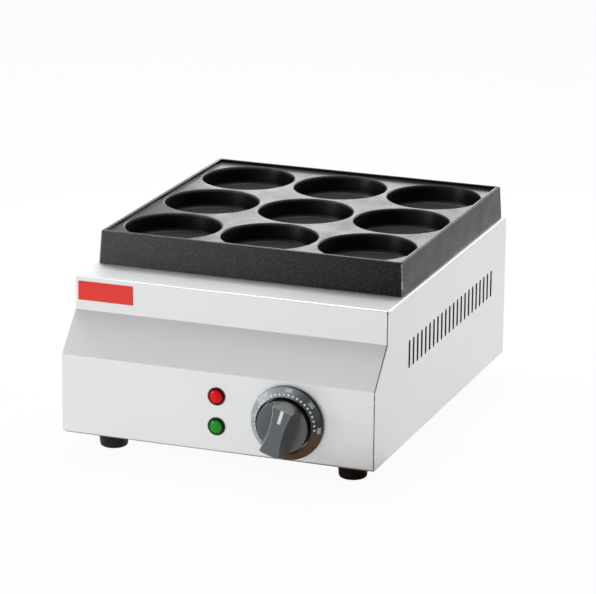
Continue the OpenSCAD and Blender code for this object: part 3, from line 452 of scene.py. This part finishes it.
def knob_wear_and_highlight(tree, where, out, pebble):
    """One on the edges of the grip and of the drum's rim, worn and with a painted highlight that is strongest at
    the left, zero elsewhere.
    """
    eased = place(tree, "ShaderNodeBevel", {"Radius": EDGE_WEAR_AND_HIGHLIGHT}, samples=8).outputs["Normal"]
    flat = place(tree, "ShaderNodeNewGeometry").outputs["Normal"]
    edge = span(tree, calc_vector(tree, "DOT_PRODUCT", eased, flat)["Value"], 1, 0, start=0.85, end=0.97)
    own = place(
        tree, "ShaderNodeVectorTransform", {"Vector": eased}, vector_type="NORMAL", convert_from="WORLD",
        convert_to="OBJECT").outputs["Vector"]
    # Painted highlight: edges facing left, towards the light, are paler
    left = span(tree, axes_of(tree, own)["X"], 1, HIGHLIGHT_AT_RIGHT, start=-0.35, end=0)
    grip = calc(tree, "LESS_THAN", axes_of(tree, where)["Y"], DIAL.y - GRIP_FOOT)
    rim = between(tree, out, DRUM_R - EDGE_WEAR_AND_HIGHLIGHT, DRUM_R)
    # Wear on the edges, which also carries the painted highlight
    worn = calc(tree, "MULTIPLY", edge, calc(tree, "MAXIMUM", grip, rim))
    return calc(tree, "MULTIPLY", worn, calc(tree, "MULTIPLY", left, span(tree, pebble, 0.7, 1)))


def knob_plastic():
    """Grey moulded plastic, with painted shade on the drum's wall and pale edges, part wear and part painted
    highlight.
    """
    made, tree, shader = material("knob_plastic", Specular_Ior_Level=0.8)
    where = object_place(tree)
    pebble = noise(tree, where, scale=1400, detail=3)
    face = tint(tree, noise(tree, where, scale=40), KNOB_DARK, KNOB_PALE)
    out = axis_distance(tree, DIAL)
    grey = mix(tree, span(tree, out, 0, 1, *DRUM_WALL), face, DRUM_PAINTED_SHADE)
    colour = mix(tree, knob_wear_and_highlight(tree, where, out, pebble), grey, PALE_WEAR_AND_HIGHLIGHT)
    surface(tree, shader, colour, span(tree, pebble, 0.28, 0.34))
    bump(tree, shader, pebble, distance=0.02 * MM, strength=0.3)
    return made


SLOTS = {
    "stainless": stainless(),
    "nonstick_cast": nonstick_cast(),
    "badge_enamel": moulded(
        "badge_enamel", (0.96, 0.052, 0.0375), roughness=0.3, scale=500, depth=0.01 * MM, contrast=0.03,
        Specular_Ior_Level=0.3),
    "plated_steel": metal("plated_steel", (0.62, 0.62, 0.60), roughness=0.32),
    "element_sheath": metal("element_sheath", (0.22, 0.22, 0.22), roughness=0.5),
    "ceramic_fibre": moulded(
        "ceramic_fibre", (0.72, 0.70, 0.64), roughness=0.9, scale=500, depth=0.3 * MM),
    "black_plastic": moulded("black_plastic", (0.028, 0.028, 0.029), roughness=0.45),
    "copper": metal("copper", (0.70, 0.36, 0.22), roughness=0.3),
    "brass": metal("brass", (0.70, 0.52, 0.24), roughness=0.32),
    "knob_plastic": knob_plastic(),
    "pointer_white": moulded(
        "pointer_white", (0.92, 0.92, 0.91), roughness=0.45, depth=0.01 * MM, contrast=0.02),
    "ring_plastic": ring_plastic(),
    "lens_red": lens(
        "lens_red", "red_lamp_lens", window=(0.90, 0.002, 0.004), collar=(0.10, 0.002, 0.003)),
    "lens_green": lens(
        "lens_green", "green_lamp_lens", window=(0.012, 0.36, 0.016), collar=(0.003, 0.04, 0.004)),
    "foot_rubber": moulded(
        "foot_rubber", (0.006, 0.006, 0.0066), roughness=0.5, scale=1100, depth=0.05 * MM,
        Specular_Ior_Level=0.2),
    "block_ceramic": moulded(
        "block_ceramic", (0.80, 0.77, 0.68), roughness=0.25, scale=300, depth=0.02 * MM),
    "lead_brown": moulded("lead_brown", (0.20, 0.09, 0.04), roughness=0.5),
    "lead_black": moulded("lead_black", (0.02, 0.02, 0.02), roughness=0.5),
    "lead_blue": moulded("lead_blue", (0.05, 0.12, 0.35), roughness=0.5),
    "lead_earth": moulded("lead_earth", (0.20, 0.30, 0.04), roughness=0.5),
}


# Mesh helpers

def corner_arc(a, b, c, radius, steps):
    """Points of the arc that rounds corner b of a flat outline between a and c."""
    a, b, c = Vector(a), Vector(b), Vector(c)
    u, v = (a - b).normalized(), (c - b).normalized()
    half = acos(u.dot(v)) / 2
    centre = b + (u + v).normalized() * radius / sin(half)
    start, end = b + u * radius / tan(half) - centre, b + v * radius / tan(half) - centre
    turn = start.angle_signed(end)
    return [centre + Matrix.Rotation(-turn * k / steps, 2) @ start for k in range(steps + 1)]


def skin(mesh, loops):
    """Faces between neighbouring closed loops of vertices."""
    for first, second in zip(loops, loops[1:]):
        count = len(first)
        for k in range(count):
            after = (k + 1) % count
            mesh.faces.new((first[k], first[after], second[after], second[k]))


def join(mesh):
    """Merges vertices that lie at one place, and turns the faces outwards."""
    bmesh.ops.remove_doubles(mesh, verts=mesh.verts, dist=MERGE)
    bmesh.ops.recalc_face_normals(mesh, faces=mesh.faces)


def new_piece(name, mesh, slot, body, *replaced):
    """Object from a bmesh, with its material, body and the CAD nodes that it stands for."""
    data = bpy.data.meshes.new(name)
    mesh.to_mesh(data)
    mesh.free()
    data.shade_smooth()
    data.materials.append(SLOTS[slot])
    piece = bpy.data.objects.new(name, data)
    bpy.context.scene.collection.objects.link(piece)
    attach(piece, body)
    if replaced:
        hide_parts(*replaced)
    return piece


def smoothing_group():
    """Geometry nodes that drop a mesh's own normals and shade smooth except across steep edges."""
    group = bpy.data.node_groups.new("smooth_faces", "GeometryNodeTree")
    group.interface.new_socket("Geometry", in_out="INPUT", socket_type="NodeSocketGeometry")
    group.interface.new_socket("Geometry", in_out="OUTPUT", socket_type="NodeSocketGeometry")
    came = group.nodes.new("NodeGroupInput").outputs["Geometry"]
    plain = place(group, "GeometryNodeRemoveAttribute", {"Geometry": came, "Name": "custom_normal"})
    faces = place(group, "GeometryNodeSetShadeSmooth", {
        "Geometry": plain.outputs["Geometry"], "Shade Smooth": True})
    angle = place(group, "GeometryNodeInputMeshEdgeAngle").outputs["Unsigned Angle"]
    steep = place(group, "FunctionNodeCompare", {0: angle, 1: SMOOTH_LIMIT}, operation="GREATER_THAN")
    edges = place(group, "GeometryNodeSetShadeSmooth", {
        "Geometry": faces.outputs["Geometry"], "Selection": steep.outputs["Result"],
        "Shade Smooth": False}, domain="EDGE")
    place(group, "NodeGroupOutput", {"Geometry": edges.outputs["Geometry"]})
    return group


SMOOTH = smoothing_group()


def round_edges(piece, width, limit, segments):
    """Rounds a piece's edges that are sharper than limit, or by their weights where limit is None."""
    edges = piece.modifiers.new("edges", "BEVEL")
    edges.width = width
    edges.segments = segments
    edges.limit_method = "ANGLE" if limit else "WEIGHT"
    edges.angle_limit = limit or 0
    edges.use_clamp_overlap = True


def even_normals(piece):
    """Lets large flat faces keep their own direction in smooth shading."""
    normals = piece.modifiers.new("normals", "WEIGHTED_NORMAL")
    normals.keep_sharp = True


def dress(piece, edge):
    """Smooths a CAD node's shading and rounds its edges, with its mesh as it is."""
    weld = piece.modifiers.new("weld", "WELD")
    weld.merge_threshold = MERGE
    if edge:
        flat = piece.modifiers.new("flat", "DECIMATE")
        flat.decimate_type = "DISSOLVE"
        flat.angle_limit = FLAT_LIMIT
        round_edges(piece, edge, ROUND_LIMIT, ROUND_STEPS)
    smooth = piece.modifiers.new("smooth", "NODES")
    smooth.node_group = SMOOTH
    even_normals(piece)


# CAD nodes: a material each, smooth shading, and rounded edges where they show

EDGES = {
    "control_knob": 0.7 * MM,
    "dial_ring": 0.4 * MM,
    "name_plate": 0.5 * MM,
    "knob_pointer": 0.1 * MM,
    "gland_cap": 0.5 * MM,
    "cable_gland": 0.5 * MM,
}
for subpart in RECORD["subparts"]:
    cad = NODES[subpart["node"]]
    cad.data.materials.clear()
    cad.data.materials.append(SLOTS[subpart["material_slot"]])
    dress(cad, EDGES.get(subpart["node"]))


# Cast plate

def cell_loop(mesh, centre, low, high, z):
    """Rectangle round a pocket's centre, with a vertex at each of the pocket's angles."""
    loop = []
    for k in range(POCKET_SIDES):
        angle = 2 * pi * k / POCKET_SIDES
        reach = max(abs(cos(angle)), abs(sin(angle)))
        x, y = cos(angle) / reach, sin(angle) / reach
        half_x = high.x - centre.x if x > 0 else centre.x - low.x
        half_y = high.y - centre.y if y > 0 else centre.y - low.y
        loop.append(mesh.verts.new((centre.x + x * half_x, centre.y + y * half_y, z)))
    return loop


def round_loop(mesh, centre, radius, z):
    """Circle round a pocket's centre."""
    angles = [2 * pi * k / POCKET_SIDES for k in range(POCKET_SIDES)]
    return [mesh.verts.new((centre.x + radius * cos(a), centre.y + radius * sin(a), z)) for a in angles]


def pockets(mesh, middle, borders):
    """Deck with nine pockets above, and their cups below, in a cell each."""
    floor_r = POCKET_R - POCKET_TAPER
    mouth, root = (POCKET_R, DECK_Z), (floor_r, FLOOR_Z)
    hollow = corner_arc((2 * POCKET_R, DECK_Z), mouth, root, MOUTH_FILLET, MOUTH_STEPS)
    hollow += corner_arc(mouth, root, (0, FLOOR_Z), FLOOR_FILLET, FLOOR_STEPS)
    hollow += [Vector((floor_r * share, FLOOR_Z)) for share in FLOOR_RINGS]
    cup_z = FLOOR_Z - FLOOR_T
    cup = [Vector((CUP_R, DECK_Z - DECK_T)), Vector((CUP_R, cup_z)), Vector((CUP_R * CUP_RING, cup_z))]
    for i in range(3):
        for j in range(3):
            centre = middle + Vector(((i - 1) * POCKET_PITCH, (j - 1) * POCKET_PITCH))
            low = middle + Vector((borders[i], borders[j]))
            high = middle + Vector((borders[i + 1], borders[j + 1]))
            for profile, z in ((hollow, DECK_Z), (cup, DECK_Z - DECK_T)):
                loops = [cell_loop(mesh, centre, low, high, z)]
                loops += [round_loop(mesh, centre, point.x, point.y) for point in profile]
                skin(mesh, loops)
                mesh.faces.new(loops[-1])


def rim_and_skirt(mesh, middle, borders):
    """Band round the deck: the rim, the drafted skirt and its inside, on the cells' own vertices."""
    eighth = POCKET_SIDES // 8
    ticks = [tan(2 * pi * k / POCKET_SIDES) for k in range(-eighth, eighth)]
    along = []
    for i in range(3):
        centre = (i - 1) * POCKET_PITCH
        along += [centre + t * (borders[i + 1] - centre if t > 0 else centre - borders[i]) for t in ticks]
    sides = [(1, 0), (0, 1), (-1, 0), (0, -1)]
    outline = [Vector((dx * DECK_HALF - dy * a, dy * DECK_HALF + dx * a)) for dx, dy in sides for a in along]
    sections = (
        (DECK_HALF, DECK_Z), (DECK_HALF, PLATE_HIGH.z), (DECK_HALF + RIM_W, PLATE_HIGH.z),
        (PLATE_HALF, LEDGE_Z), (PLATE_HALF - SKIRT_T, LEDGE_Z), (DECK_HALF, DECK_Z - DECK_T))
    loops = []
    for half, z in sections:
        flat = [middle + point * (half / DECK_HALF) for point in outline]
        loops.append([mesh.verts.new((*point, z)) for point in flat])
    skin(mesh, loops)


def weigh_edges(mesh, middle):
    """Bevel weights: full on the outer edges above the ledge, less on the rim's inner edges."""
    weight = mesh.edges.layers.float.new("bevel_weight_edge")
    for edge in mesh.edges:
        at = (edge.verts[0].co + edge.verts[1].co) / 2
        reach = max(abs(at.x - middle.x), abs(at.y - middle.y))
        if edge.calc_face_angle(0) > CAST_CORNER and at.z > LEDGE_Z + MM:
            if reach > DECK_HALF + RIM_W / 2:
                edge[weight] = 1
            elif at.z > DECK_Z - MM:
                edge[weight] = RIM_EDGE


def cooking_plate():
    """One casting: deck with nine pockets, raised rim, drafted skirt and cups underneath."""
    mesh = bmesh.new()
    middle = PLATE_MIDDLE.to_2d()
    borders = [-DECK_HALF, -POCKET_PITCH / 2, POCKET_PITCH / 2, DECK_HALF]
    pockets(mesh, middle, borders)
    rim_and_skirt(mesh, middle, borders)
    join(mesh)
    weigh_edges(mesh, middle)
    piece = new_piece("cast_plate", mesh, "nonstick_cast", "cooker", "cooking_plate")
    round_edges(piece, CAST_EDGE, None, CAST_EDGE_STEPS)
    even_normals(piece)


cooking_plate()


# Dial's scale

def dial_frame(orbit, angle):
    """Matrix of a place on the ring's sloped face: x along the scale, y outwards, z off the face."""
    slope = (SCALE_OUTER_H - SCALE_INNER_H) / (SCALE_OUTER_R - SCALE_INNER_R)
    height = SCALE_INNER_H + slope * (orbit - SCALE_INNER_R)
    out = Vector((cos(angle), 0, sin(angle)))
    along = Vector((sin(angle), 0, -cos(angle)))
    radial = (out - Vector((0, slope, 0))).normalized()
    face = along.cross(radial)
    turn = Matrix((along, radial, face)).transposed().to_4x4()
    return Matrix.Translation(DIAL + out * orbit + Vector((0, -height, 0))) @ turn


def add_number(mesh, words, angle):
    """Adds one plain number of the scale to a bmesh."""
    text = bpy.data.curves.new("number", "FONT")
    text.body = words
    text.align_x = "CENTER"
    text.align_y = "CENTER"
    text.extrude = PRINT_T / NUMBER_H
    text.offset = NUMBER_BOLD
    holder = bpy.data.objects.new("number", text)
    bpy.context.scene.collection.objects.link(holder)
    bpy.context.view_layer.update()
    ready = holder.evaluated_get(bpy.context.evaluated_depsgraph_get())
    shape = bpy.data.meshes.new_from_object(ready)
    size = NUMBER_H / DIGIT_SHARE
    stretch = Matrix.Diagonal((size * NUMBER_WIDTH, size, NUMBER_H, 1))
    shape.transform(dial_frame(NUMBER_ORBIT, angle) @ stretch)
    mesh.from_mesh(shape)
    bpy.data.objects.remove(holder)
    bpy.data.meshes.remove(shape)


def dial_scale():
    """Printed dots and plain numbers on the dial ring."""
    mesh = bmesh.new()
    for k in range(DOT_COUNT):
        angle = radians(DOT_FIRST + (DOT_LAST - DOT_FIRST) * k / (DOT_COUNT - 1))
        bmesh.ops.create_cone(
            mesh, cap_ends=True, segments=DOT_SIDES, radius1=DOT_R, radius2=DOT_R, depth=2 * PRINT_T,
            matrix=dial_frame(DOT_ORBIT, angle))
    for k, words in enumerate(NUMBERS):
        angle = radians(NUMBER_FIRST + (NUMBER_LAST - NUMBER_FIRST) * k / (len(NUMBERS) - 1))
        add_number(mesh, words, angle)
    join(mesh)
    new_piece("dial_scale", mesh, "pointer_white", "cooker")


dial_scale()


# Stage: pale floor, white surroundings and soft studio lamps

STAGE_WHITE = 0.95
STAGE_MATTE = (0.9, 0.9, 0.9, 1)
STAGE_SIZE = 40
WHITE = (1, 1, 1, 1)

# Table at the right front and grey card at the left, which only reflections show
TABLE_BROWN = (0.15, 0.075, 0.035, 1)
TABLE_DARK = (0.02, 0.02, 0.018, 1)
TABLE_SLANT = 1.2
TABLE_START = DIAL.x + TABLE_SLANT * CASE_LOW.y - 0.08
TABLE_START_BLUR = 0.07
TABLE_BACK = CASE_LOW.y + 0.1
TABLE_BACK_BLUR = 0.06
TABLE_DARK_BLUR = 0.1
CARD_GREY = (0.58, 0.58, 0.59, 1)
CARD_RIGHT = CASE_LOW.x - 0.05
CARD_FRONT = CASE_LOW.y - 0.25
CARD_BLUR = 0.15

# Room: strength of the light it sheds and of what is seen of it
ROOM_SHED = 0.48
ROOM_SEEN = 1.0

# Grey overhead in front, and dimmer right and back for reflections, each over cosines from its direction
OVER_FRONT = Vector((-0.3, -0.45, 0.84)).normalized()
OVER_START = 0.68
OVER_END = 0.95
OVER_GREY = (0.47, 0.475, 0.485)
DARK_SIDE = Vector((0.75, -0.5, 0.43)).normalized()
DARK_REACH = (0.4, 0.8)
DARK_SHARE = 0.88
DIM_BACK = Vector((-0.42, 0.87, 0.27)).normalized()
DIM_REACH = (0.85, 0.97)
DIM_SHARE = 0.4

# Soft boxes: place, target, width, height and power
LAMPS = {
    "front_light": ((-2.3, -2.0, 0.75), (0, -0.1, 0.1), 0.9, 0.9, 24.5),
    "top_light": ((-0.1, 0.35, 1.5), (0, 0, 0.15), 0.9, 0.7, 10),
    "pocket_light": ((-0.76, 0.49, 1.28), (0, 0, 0.18), 0.3, 0.3, 3.5),
    "back_light": ((-0.19, 0.8, 0.45), (0, 0, 0.19), 0.45, 0.3, 1.55),
    "edge_light": ((0.49, 1.08, 0.57), (0.15, 0, 0.17), 0.4, 0.3, 2),
}


def seen_directly(tree):
    """One for camera, glossy and transmission rays, and zero for the rays that light the object."""
    path = place(tree, "ShaderNodeLightPath").outputs
    both = calc(tree, "MAXIMUM", path["Is Camera Ray"], path["Is Glossy Ray"])
    return calc(tree, "MAXIMUM", both, path["Is Transmission Ray"])


def reflected(tree):
    """One for glossy rays, zero for all others."""
    return place(tree, "ShaderNodeLightPath").outputs["Is Glossy Ray"]


def floor_colour(tree):
    """White, with the table and the card for reflections."""
    axes = axes_of(tree, object_place(tree))
    slant = calc(tree, "ADD", axes["X"], calc(tree, "MULTIPLY", axes["Y"], TABLE_SLANT))
    right = span(tree, slant, 0, 1, start=TABLE_START, end=TABLE_START + TABLE_START_BLUR)
    front = span(tree, axes["Y"], 1, 0, start=TABLE_BACK - TABLE_BACK_BLUR, end=TABLE_BACK)
    table = calc(tree, "MULTIPLY", calc(tree, "MULTIPLY", right, front), reflected(tree))
    far = span(tree, axes["X"], 0, 1, start=CASE_HIGH.x, end=CASE_HIGH.x + TABLE_DARK_BLUR)
    left = span(tree, axes["X"], 1, 0, start=CARD_RIGHT - CARD_BLUR, end=CARD_RIGHT)
    behind = span(tree, axes["Y"], 0, 1, start=CARD_FRONT, end=CARD_FRONT + CARD_BLUR)
    card = calc(tree, "MULTIPLY", calc(tree, "MULTIPLY", left, behind), reflected(tree))
    ground = mix(tree, card, WHITE, CARD_GREY)
    return mix(tree, table, ground, mix(tree, far, TABLE_BROWN, TABLE_DARK))


def floor():
    """Pale floor that keeps the object's shadow."""
    made = bpy.data.materials.new("studio_floor")
    made.use_nodes = True
    tree = made.node_tree
    tree.nodes.clear()
    matte = place(tree, "ShaderNodeBsdfDiffuse", {"Color": STAGE_MATTE})
    bright = place(tree, "ShaderNodeEmission", {"Color": floor_colour(tree), "Strength": 1.0})
    share = calc(tree, "MULTIPLY", seen_directly(tree), STAGE_WHITE)
    mixed = place(tree, "ShaderNodeMixShader", {0: share, 1: matte.outputs[0], 2: bright.outputs[0]})
    place(tree, "ShaderNodeOutputMaterial", {"Surface": mixed.outputs[0]})
    mesh = bmesh.new()
    bmesh.ops.create_grid(mesh, x_segments=1, y_segments=1, size=STAGE_SIZE / 2)
    data = bpy.data.meshes.new("studio_floor")
    mesh.to_mesh(data)
    mesh.free()
    data.materials.append(made)
    plane = bpy.data.objects.new("studio_floor", data)
    bpy.context.scene.collection.objects.link(plane)


def surroundings():
    """White room, grey overhead in front, weaker in the light it sheds and dim in places for reflections."""
    world = bpy.data.worlds.new("studio")
    bpy.context.scene.world = world
    world.use_nodes = True
    tree = world.node_tree
    tree.nodes.clear()
    direction = place(tree, "ShaderNodeTexCoord").outputs["Generated"]
    over = calc_vector(tree, "DOT_PRODUCT", direction, OVER_FRONT)["Value"]
    dome = ramp(tree, over, (OVER_START, WHITE[:3]), (OVER_END, OVER_GREY))
    side = calc_vector(tree, "DOT_PRODUCT", direction, DARK_SIDE)["Value"]
    back = calc_vector(tree, "DOT_PRODUCT", direction, DIM_BACK)["Value"]
    side_shade = span(tree, side, 0, DARK_SHARE, *DARK_REACH)
    back_shade = span(tree, back, 0, DIM_SHARE, *DIM_REACH)
    dim = calc(tree, "MULTIPLY", calc(tree, "MAXIMUM", side_shade, back_shade), reflected(tree))
    strength = span(tree, seen_directly(tree), ROOM_SHED, ROOM_SEEN, start=0, end=1)
    strength = calc(tree, "MULTIPLY", strength, calc(tree, "SUBTRACT", 1.0, dim))
    light = place(tree, "ShaderNodeBackground", {"Color": dome, "Strength": strength})
    place(tree, "ShaderNodeOutputWorld", {"Surface": light.outputs[0]})


def lamp(name, at, target, width, height, power):
    """Soft box that the camera doesn't see."""
    data = bpy.data.lights.new(name, "AREA")
    data.shape = "RECTANGLE"
    data.size = width
    data.size_y = height
    data.energy = power
    made = bpy.data.objects.new(name, data)
    made.location = at
    made.rotation_mode = "QUATERNION"
    made.rotation_quaternion = (Vector(target) - Vector(at)).to_track_quat("-Z", "Y")
    made.visible_camera = False
    bpy.context.scene.collection.objects.link(made)


floor()
surroundings()
for lamp_name, lamp_values in LAMPS.items():
    lamp(lamp_name, *lamp_values)


# Camera

def camera():
    """Camera at the photograph's viewing angle."""
    azimuth, elevation, roll = radians(AZIMUTH), radians(ELEVATION), radians(ROLL)
    back = Vector((sin(azimuth) * cos(elevation), -cos(azimuth) * cos(elevation), sin(elevation)))
    level = Vector((0, 0, 1)).cross(back).normalized()
    upright = back.cross(level)
    right = level * cos(roll) + upright * sin(roll)
    up = upright * cos(roll) - level * sin(roll)
    data = bpy.data.cameras.new("camera")
    data.sensor_width = SENSOR_W
    data.lens = SENSOR_W * FOCAL_PX / IMAGE_W
    made = bpy.data.objects.new("camera", data)
    middle = Vector((0, (CASE_LOW.y + CASE_HIGH.y) / 2, 0))
    stand = middle + back * DISTANCE + right * OFFSET_RIGHT + up * OFFSET_UP
    made.matrix_world = Matrix.Translation(stand) @ Matrix((right, up, back)).transposed().to_4x4()
    bpy.context.scene.collection.objects.link(made)
    bpy.context.scene.camera = made


camera()
bpy.context.scene.view_settings.view_transform = "Standard"
